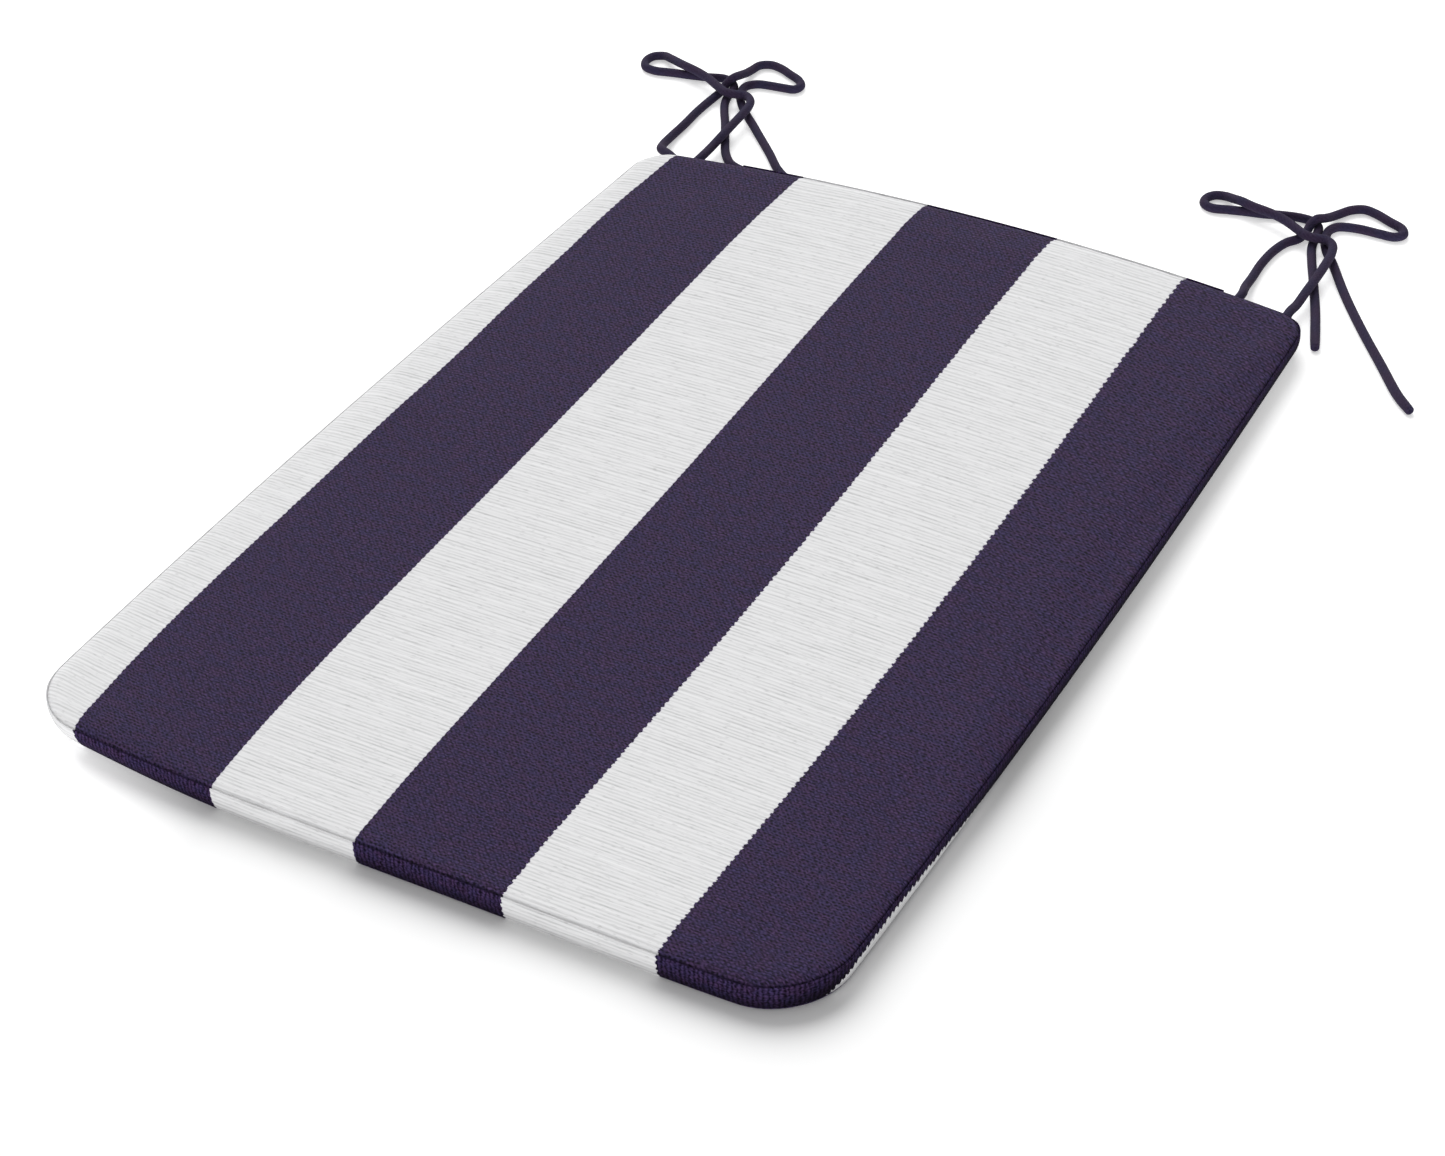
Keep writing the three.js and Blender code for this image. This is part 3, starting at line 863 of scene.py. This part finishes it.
def dark_weave(tree, uv, strip):
    """Brightness and height of the dark stripes: a steep twill of short light floats, and on
    a strip upright ribs cut into cells."""
    shift = tree.math("MULTIPLY", tree.noise(uv, "warp", detail=1), TWILL_WANDER)
    if strip:
        ribs = tree.wave(uv, (1 / STRIP_RIB_PITCH, 0), shift)
        cells = tree.wave(uv, (0, 1 / STRIP_CELL_PITCH), shift)
        basket = tree.math("MULTIPLY", ribs, cells)
        return tree.plus(0.0, *zip((ribs, cells, basket), STRIP_WEIGHTS))
    return tree.plus(0.0, *((tree.wave(uv, turns, shift), weight) for turns, weight in TWILL_WAVES))


def pale_weave(tree, uv, along, look):
    """Brightness and height of the pale stripes: a broad rib and four fine ones in each
    repeat."""
    stops = []
    for place in np.linspace(0, 1, RIB_STOPS):
        level = RIB_LEVEL
        for turns, weight, phase in RIB_WAVES:
            level += weight * math.cos(2 * math.pi * turns * place + math.radians(phase))
        stops.append((place, min(max(level, 0), 1)))
    drift = tree.noise(uv, "drift", detail=1)
    place = tree.math("MULTIPLY_ADD", drift, RIB_WANDER, along)
    share = tree.math("FRACT", tree.math("DIVIDE", place, look.rib_repeat))
    fade = tree.spread(tree.noise(uv, "fade", detail=2), *FADE_RUN, 0.0, 1.0)
    return tree.blend(fade, tree.ramp(share, stops), FADED_RIB)


def heather(tree, uv, base, grains, run, **noise):
    """A dark colour that turns slowly redder and bluer over the cloth."""
    red, blue = (
        colour(channel * factor for channel, factor in zip(base, turned))
        for turned in (RED_HEATHER, BLUE_HEATHER)
    )
    patches = tree.spread(tree.noise(uv, grains, **noise), *run, 0, 1, smooth=True)
    return tree.mix(patches, blue, red)


def dark_cloth(tree, uv, twill, look):
    speckle = tree.spread(tree.noise(uv, "speckle", detail=1), *SPECKLE_RUN, -1, 1)
    shade = tree.plus(1.0, (twill, TWILL_SHADE), (speckle, SPECKLE))
    base = heather(tree, uv, look.dark, "heather", HEATHER_RUN, detail=3, roughness=0.65)
    return tree.shaded(base, tree.math("MAXIMUM", shade, DARKEST))


def pale_cloth(tree, uv, ribs, edge, look):
    slubs = tree.spread(tree.noise(uv, "slub", detail=0), *SLUB_RUN, 1.0, SLUB_SHADE)
    level = tree.math("MULTIPLY", tree.spread(ribs, 0, 1, *PALE_LEVELS), slubs)
    fringe = tree.spread(edge, *FRINGE_REACH, FRINGE_SHARE, 0.0)
    return tree.mix(fringe, tree.shaded(colour(look.pale), level), colour(FRINGE))


def strip_cloths_in_painted_shade(tree, pale, dark, drop):
    """Both cloths of a strip with painted shade: darker towards its lower seam and on the right
    side, which faces away from the light.
    """
    depth = tree.math("DIVIDE", drop, STRIP_HEIGHT)
    # Painted shade on the right side of the strips, which faces away from the light.
    side = tree.spread(object_place(tree)[0], *PAINTED_SHADE_SIDE_RUN, 0.0, 1.0)
    pale_painted_shade = tree.math(
        "MULTIPLY", tree.ramp(depth, PALE_STRIP_PAINTED_SHADE), tree.blend(side, 1.0, PALE_RIGHT_SIDE_PAINTED_SHADE))
    dark_painted_shade = tree.blend(
        side, tree.ramp(depth, DARK_STRIP_PAINTED_SHADE), tree.ramp(depth, RIGHT_SIDE_PAINTED_SHADE))
    return tree.shaded(pale, pale_painted_shade), tree.shaded(dark, dark_painted_shade)


def canvas_material(name, look, strip=False):
    """Striped canvas. A strip's stripes follow the top panel; its ribs follow the strip."""
    material, tree, surface = new_material(name)
    uv, across, along = cloth_map(tree, FLAT_UV)
    mask, edge = stripe_mask(tree, across, along, uv)
    if strip:
        uv, _, along = cloth_map(tree, STRIP_UV)
    twill = dark_weave(tree, uv, strip)
    ribs = pale_weave(tree, uv, along, look)
    dark = dark_cloth(tree, uv, twill, look)
    pale = pale_cloth(tree, uv, ribs, edge, look)
    # A strip's cloths get painted shade, darker towards the lower seam and on the right side.
    if strip:
        pale, dark = strip_cloths_in_painted_shade(tree, pale, dark, along)
    height = tree.blend(mask, ribs, tree.spread(twill, -1, 1, 0, 1))
    roughness = tree.blend(mask, PALE_ROUGHNESS, DARK_ROUGHNESS)
    shine = STRIP_SHINE if strip else 1.0
    dress_cloth(tree, surface, tree.mix(mask, pale, dark), height, look.relief, roughness, shine)
    return material


def tie_material(look):
    """Fine plain weave round the cord, with a slow change of shade along it."""
    material, tree, surface = new_material("tie_cloth")
    uv, _, _ = cloth_map(tree, STRIP_UV)
    around, along = TIE_PITCHES
    yarns = tree.math("MULTIPLY", tree.wave(uv, (1 / around, 0)), tree.wave(uv, (0, 1 / along)))
    slant = tree.wave(uv, TIE_SLANT)
    speckle = tree.spread(tree.noise(uv, "tie speckle", detail=1), *SPECKLE_RUN, -1, 1)
    shade = tree.plus(1.0, *zip((yarns, slant, speckle), TIE_SHADES))
    base = tree.shaded(heather(tree, uv, look.tie, "tie heather", TIE_HEATHER_RUN), shade)
    height = tree.plus(0.0, *zip((yarns, slant), TIE_HEIGHTS))
    dress_cloth(tree, surface, base, height, look.relief * TIE_RELIEF, TIE_ROUGHNESS)
    return material


def floor_material(stage):
    material, tree, surface = new_material("pale_floor")
    x, y = object_place(tree)
    # Painted light: the floor glows behind the pad and at its front left corner, lifting the
    # shadows there.
    back = tree.spread(y, *BACK_GLOW_RUN, 0.0, stage.back_glow)
    left = tree.spread(x, *LEFT_GLOW_RUN, 0.0, stage.left_glow)
    fade = tree.spread(y, *LEFT_GLOW_FADE, 1.0, 0.0)
    dress(tree, surface, {
        "Base Color": colour(stage.floor),
        "Roughness": 1.0,
        "Specular IOR Level": 0.0,
        "Emission Color": colour((1.0, 1.0, 1.0)),
        "Emission Strength": tree.plus(back, (left, fade)),
    })
    return material


def strip_tree():
    """Tree that sweeps a strip's profile along its seam, upright all the way."""
    tree = bpy.data.node_groups.new("Sewn strip", "GeometryNodeTree")
    sockets = {
        "Path": "Geometry", "Profile": "Object", "Closed ends": "Bool", "Cloth": "Material"}
    for label, kind in sockets.items():
        tree.interface.new_socket(label, in_out="INPUT", socket_type="NodeSocket" + kind)
    tree.interface.new_socket("Strip", in_out="OUTPUT", socket_type="NodeSocketGeometry")
    nodes = NodeTree(tree)
    given = nodes.add("NodeGroupInput").outputs
    curve = nodes.made("GeometryNodeSetCurveNormal", {"Curve": given["Path"]}, mode="Z_UP")
    profile = nodes.made("GeometryNodeObjectInfo", {"Object": given["Profile"]}, "Geometry")
    sweep = {"Curve": curve, "Profile Curve": profile, "Fill Caps": given["Closed ends"]}
    strip = nodes.made("GeometryNodeCurveToMesh", sweep)
    strip = nodes.made("GeometryNodeSetShadeSmooth", {"Geometry": strip})
    strip = nodes.made("GeometryNodeRealizeInstances", {"Geometry": strip})
    dressed = {"Geometry": strip, "Material": given["Cloth"]}
    strip = nodes.made("GeometryNodeSetMaterial", dressed)
    nodes.feed(nodes.add("NodeGroupOutput").inputs[0], strip)
    return tree


def path_object(name, points, cyclic):
    """Curve object with one straight-sided spline through the points."""
    curve = bpy.data.curves.new(name, "CURVE")
    curve.dimensions = "3D"
    spline = curve.splines.new("POLY")
    spline.points.add(len(points) - 1)
    for knot, point in zip(spline.points, points):
        knot.co = (*map(float, point), 1.0)
    spline.use_cyclic_u = cyclic
    return linked(name, curve)


def made_by(tree, path, values):
    """Runs the tree on the path and returns what it makes as a plain mesh."""
    modifier = path.modifiers.new(tree.name, "NODES")
    modifier.node_group = tree
    for item in tree.interface.items_tree:
        if item.in_out == "INPUT" and item.name in values:
            modifier[item.identifier] = values[item.name]
    bpy.context.view_layer.update()
    mesh = evaluated_mesh(path)
    path.modifiers.remove(modifier)
    bpy.data.objects.remove(path)
    return mesh


def swept_strip(name, run, profile, cloth, closed):
    """Strip of cloth with a profile of insets and heights along a run of seam points."""
    section = path_object(name + "_profile", [(-inset, -z, 0) for inset, z in profile], True)
    path = path_object(name + "_path", [(x, y, 0) for x, y in run], closed)
    values = {"Profile": section, "Closed ends": not closed, "Cloth": cloth}
    mesh = made_by(strip_tree(), path, values)
    bpy.data.objects.remove(section)
    if not len(mesh.vertices):
        raise RuntimeError(name + " came out empty")
    points = drawn_in(low_far_lip(vertices_of(mesh)))
    mesh.vertices.foreach_set("co", points.ravel())
    mesh.update()
    mesh.name = name
    lay_strip_cloth(faces_outwards(mesh))
    return linked(name, mesh)


def beside(place, points):
    """Insets and heights of profile points that lie so far inside a place."""
    return [(place + inset, z) for z, inset in points]


def boxing_profile(pad):
    """Closed profile of the boxing: gathered into the top seam, bulging, drawn in below."""
    face = [(boxing_inset(pad, z), z) for z in BOXING_FACE_HEIGHTS]
    fold = beside(face[-1][0], (*BOXING_LOWER_FOLD, (BOXING_FOLD_END, pad.cloth)))
    back = [(boxing_inset(pad, z) + pad.cloth, z) for z in BOXING_BACK_HEIGHTS]
    return beside(pad.seam_inset, BOXING_LIP) + face + fold + back


def placket_profile(pad):
    """Closed profile of the placket, which lies over the boxing, with soft folded edges."""
    inner = [(min(boxing_inset(pad, z), 0.0) - CLEARANCE, z) for z in PLACKET_HEIGHTS]
    outer = [(inset - pad.cloth, z) for inset, z in inner]
    top, bottom = inner[0][0], inner[-1][0]
    return (
        beside(top, PLACKET_TOP_FOLD) + outer + beside(bottom, PLACKET_LOWER_FOLD) + inner[::-1]
    )


def pad_profile(pad, crown):
    """Rings of the filled pad from the middle of the top to the middle of the underside."""
    slack = pad.crown - crown
    rings = [
        (inset, top_height(pad, inset) - slack * (1 - math.exp(-inset / CROWN_REACH)))
        for inset in reversed(TOP_INSETS)
    ]
    rings += beside(pad.seam_inset, PAD_SEAM)
    wall = pad.cloth + CLEARANCE
    rings += [(boxing_inset(pad, z) + wall, z) for z in PAD_WALL_HEIGHTS]
    low = boxing_inset(pad, BOTTOM_SEAM)
    rings += beside(low, PAD_LOWER_SEAM)
    for share in np.linspace(0, 1, UNDERSIDE_STEPS + 1)[1:]:
        rings.append((low + UNDERSIDE_ROLL * share, BOTTOM_SEAM * (1 - share) ** 2))
    return rings + [(inset, 0.0) for inset in UNDERSIDE_INSETS]


def pad_points(profile):
    rings = [np.column_stack([seam_ring(inset), np.full(RING, z)]) for inset, z in profile]
    return np.vstack(rings + [rings[0].mean(axis=0)[None], rings[-1].mean(axis=0)[None]])


def settled_lift(blank, points):
    """How far the filling lifts the top panel at each point, from a cloth simulation."""
    scene = bpy.context.scene
    remesh = blank.modifiers.new("Remesh", "REMESH")
    remesh.mode = "VOXEL"
    remesh.voxel_size = VOXEL
    shell = linked("shell", evaluated_mesh(blank))
    before = vertices_of(shell.data)
    inside = nearest_on_seam(before[:, :2]).inside
    held = shell.vertex_groups.new(name="sewn")
    fixed = np.nonzero((before[:, 2] < SEWN_BELOW) | (inside < SEWN_WITHIN))[0]
    held.add(fixed.tolist(), 1.0, "REPLACE")
    cloth = shell.modifiers.new("Filling", "CLOTH")
    cloth.settings.quality = CLOTH_QUALITY
    cloth.settings.mass = CLOTH_MASS
    cloth.settings.use_pressure = True
    cloth.settings.uniform_pressure_force = PRESSURE
    cloth.settings.vertex_group_mass = held.name
    cloth.settings.effector_weights.gravity = 0.0
    cloth.point_cache.frame_start = 1
    cloth.point_cache.frame_end = LAST_FRAME
    for number in range(1, LAST_FRAME + 1):
        scene.frame_set(number)
    moved = vertices_of(evaluated_mesh(shell))[:, 2] - before[:, 2]
    scene.frame_set(1)
    corners = [tuple(face.vertices) for face in shell.data.polygons]
    old = BVHTree.FromPolygons(before.tolist(), corners)
    lifts = np.zeros(len(points))
    for i, point in enumerate(points):
        _, _, face, _ = old.find_nearest(Vector(point))
        ids = list(corners[face])
        weight = 1 / (np.linalg.norm(before[ids] - point, axis=1) + 1e-4)
        lifts[i] = np.dot(weight, moved[ids]) / weight.sum()
    bpy.data.objects.remove(shell)
    return np.clip(lifts, -MOST_LIFT, MOST_LIFT)


def puckers(distance, inset):
    """Slight gathers where the top panel is sewn, dying out a little way in."""
    random = np.random.default_rng(PUCKER_SEED)
    around = distance.max()
    gathers = np.zeros(len(distance))
    for pitch in PUCKER_PITCHES:
        turns = max(1, round(around / pitch))
        phase = random.uniform(0, 2 * math.pi)
        gathers += np.cos(2 * math.pi * turns * distance / around + phase)
    ease = np.clip(inset / PUCKER_EASE, 0, 1) * np.exp(-inset / PUCKER_REACH)
    return PUCKER * gathers / 2 * ease


def add_light(name, strength, turn, rise, spread):
    """Far, broad light from a direction, the same all over the pad."""
    light = linked(name, bpy.data.lights.new(name, "SUN"))
    light.data.energy = strength
    light.data.angle = spread
    away = Vector((
        math.cos(rise) * math.cos(turn), math.cos(rise) * math.sin(turn), math.sin(rise)))
    facing = away.to_track_quat("Z", "Y").to_matrix().to_4x4()
    light.matrix_world = Matrix.Translation(away * LIGHT_AWAY) @ facing


class CHAIRPAD_OT_stage(bpy.types.Operator):
    """Make the pale floor, the soft lights and the camera"""

    bl_idname = "chair_pad.make_stage"
    bl_label = "Stage"

    def execute(self, context):
        scene = context.scene
        stage = scene.chair_pad_stage
        camera = linked("camera", bpy.data.cameras.new("camera"))
        camera.data.lens = CAMERA_LENS
        camera.data.sensor_width = CAMERA_SENSOR
        camera.data.sensor_fit = "HORIZONTAL"
        camera.data.clip_start = 0.05
        camera.data.clip_end = 50
        right, up = Vector(CAMERA_RIGHT), Vector(CAMERA_UP)
        axes = Matrix((right, up, right.cross(up))).transposed()
        camera.matrix_world = Matrix.Translation(CAMERA_PLACE) @ axes.to_4x4()
        scene.camera = camera

        corners = [(-1, -1), (1, -1), (1, 1), (-1, 1)]
        points = [(x * FLOOR_REACH, y * FLOOR_REACH, -FLOOR_DROP) for x, y in corners]
        floor = mesh_object("floor", points, [(0, 1, 2, 3)], floor_material(stage))

        world = bpy.data.worlds.new("studio")
        world.use_nodes = True
        background = world.node_tree.nodes["Background"]
        background.inputs["Color"].default_value = colour((1.0, 1.0, 1.0))
        background.inputs["Strength"].default_value = stage.sky
        scene.world = world

        add_light("key_light", stage.key, stage.key_turn, stage.key_rise, stage.key_spread)
        add_light("fill_light", stage.fill, stage.fill_turn, stage.fill_rise, stage.fill_spread)
        scene.view_settings.view_transform = "Standard"
        return {"FINISHED"}


class CHAIRPAD_OT_ties(bpy.types.Operator):
    """Make the four tie cords in their bows"""

    bl_idname = "chair_pad.make_ties"
    bl_label = "Tie cords"

    def execute(self, context):
        ties = context.scene.chair_pad_ties
        cloth = tie_material(context.scene.chair_pad_cloth)
        for node, route in TIE_ROUTES.items():
            piece, path, long = tie_mesh(node + "_cord", route, ties, cloth)
            finish_piece(piece, node)
        return {"FINISHED"}


class CHAIRPAD_OT_pad(bpy.types.Operator):
    """Make the filled pad with its crowned top panel and its underside"""

    bl_idname = "chair_pad.make_pad"
    bl_label = "Pad"

    def execute(self, context):
        pad = context.scene.chair_pad_sizes
        cloth = canvas_material("pad_canvas", context.scene.chair_pad_cloth)
        profile = pad_profile(pad, pad.crown)
        points = pad_points(profile)
        faces = ring_faces(len(profile), RING)
        top = np.arange(len(TOP_INSETS) * RING)
        inset = np.repeat([p[0] for p in profile[:len(TOP_INSETS)]], RING)
        slack = pad_profile(pad, pad.crown * BLANK_CROWN)
        blank = mesh_object("blank", pad_points(slack), faces)
        faces_outwards(blank.data)
        lift = settled_lift(blank, vertices_of(blank.data)[top])
        bpy.data.objects.remove(blank)
        even = lift.reshape(-1, RING).mean(axis=1).repeat(RING)
        points[top, 2] += (lift - even) * np.clip(inset / LIFT_EASE, 0, 1)
        points[top, 2] += puckers(nearest_on_seam(points[top, :2]).along, inset)
        piece = mesh_object("pad_cover", drawn_in(points), faces, cloth)
        faces_outwards(piece.data)
        lay_flat_cloth(piece.data, vertices_of(piece.data)[:, :2])
        finish_piece(piece, "pad")
        return {"FINISHED"}


class CHAIRPAD_OT_boxing(bpy.types.Operator):
    """Make the strip of canvas sewn round the sides of the pad"""

    bl_idname = "chair_pad.make_boxing"
    bl_label = "Boxing"

    def execute(self, context):
        cloth = canvas_material("boxing_canvas", context.scene.chair_pad_cloth, strip=True)
        profile = boxing_profile(context.scene.chair_pad_sizes)
        piece = swept_strip("boxing_strip", seam_ring(0.0), profile, cloth, closed=True)
        finish_piece(piece, "boxing")
        return {"FINISHED"}


class CHAIRPAD_OT_placket(bpy.types.Operator):
    """Make the second strip over the back boxing, between the ties"""

    bl_idname = "chair_pad.make_placket"
    bl_label = "Placket"

    def execute(self, context):
        pad = context.scene.chair_pad_sizes
        cloth = canvas_material("placket_canvas", context.scene.chair_pad_cloth, strip=True)
        ring = seam_ring(0.0)
        back = ring[(ring[:, 1] > 0) & (np.abs(ring[:, 0]) < PLACKET_LIMIT)]
        back = back[np.argsort(back[:, 0])]
        across = np.linspace(pad.placket_to, pad.placket_from, PLACKET_STEPS)
        run = np.column_stack([across, np.interp(across, back[:, 0], back[:, 1])])
        piece = swept_strip("placket_strip", run, placket_profile(pad), cloth, closed=False)
        finish_piece(piece, "back_placket")
        return {"FINISHED"}


STEPS = (
    CHAIRPAD_OT_stage, CHAIRPAD_OT_ties, CHAIRPAD_OT_pad, CHAIRPAD_OT_boxing, CHAIRPAD_OT_placket,
)
SETTINGS = {
    "chair_pad_sizes": PadSettings,
    "chair_pad_cloth": ClothSettings,
    "chair_pad_ties": TieSettings,
    "chair_pad_stage": StageSettings,
}


class CHAIRPAD_PT_panel(bpy.types.Panel):
    """Lists the steps that build the chair pad, and their settings"""

    bl_idname = "CHAIRPAD_PT_panel"
    bl_label = "Chair Pad"
    bl_space_type = "VIEW_3D"
    bl_region_type = "UI"
    bl_category = "Chair Pad"

    def draw(self, context):
        for name, group in SETTINGS.items():
            box = self.layout.box()
            for setting in group.__annotations__:
                box.prop(getattr(context.scene, name), setting)
        for step in STEPS:
            self.layout.operator(step.bl_idname)


def register():
    for name, group in SETTINGS.items():
        bpy.utils.register_class(group)
        setattr(bpy.types.Scene, name, bpy.props.PointerProperty(type=group))
    for shown in (*STEPS, CHAIRPAD_PT_panel):
        bpy.utils.register_class(shown)


def unregister():
    for shown in (CHAIRPAD_PT_panel, *reversed(STEPS)):
        bpy.utils.unregister_class(shown)
    for name, group in reversed(SETTINGS.items()):
        delattr(bpy.types.Scene, name)
        bpy.utils.unregister_class(group)


def main():
    register()
    bpy.ops.chair_pad.make_stage()
    bpy.ops.chair_pad.make_ties()
    bpy.ops.chair_pad.make_pad()
    bpy.ops.chair_pad.make_boxing()
    bpy.ops.chair_pad.make_placket()


if __name__ == "__main__":
    main()
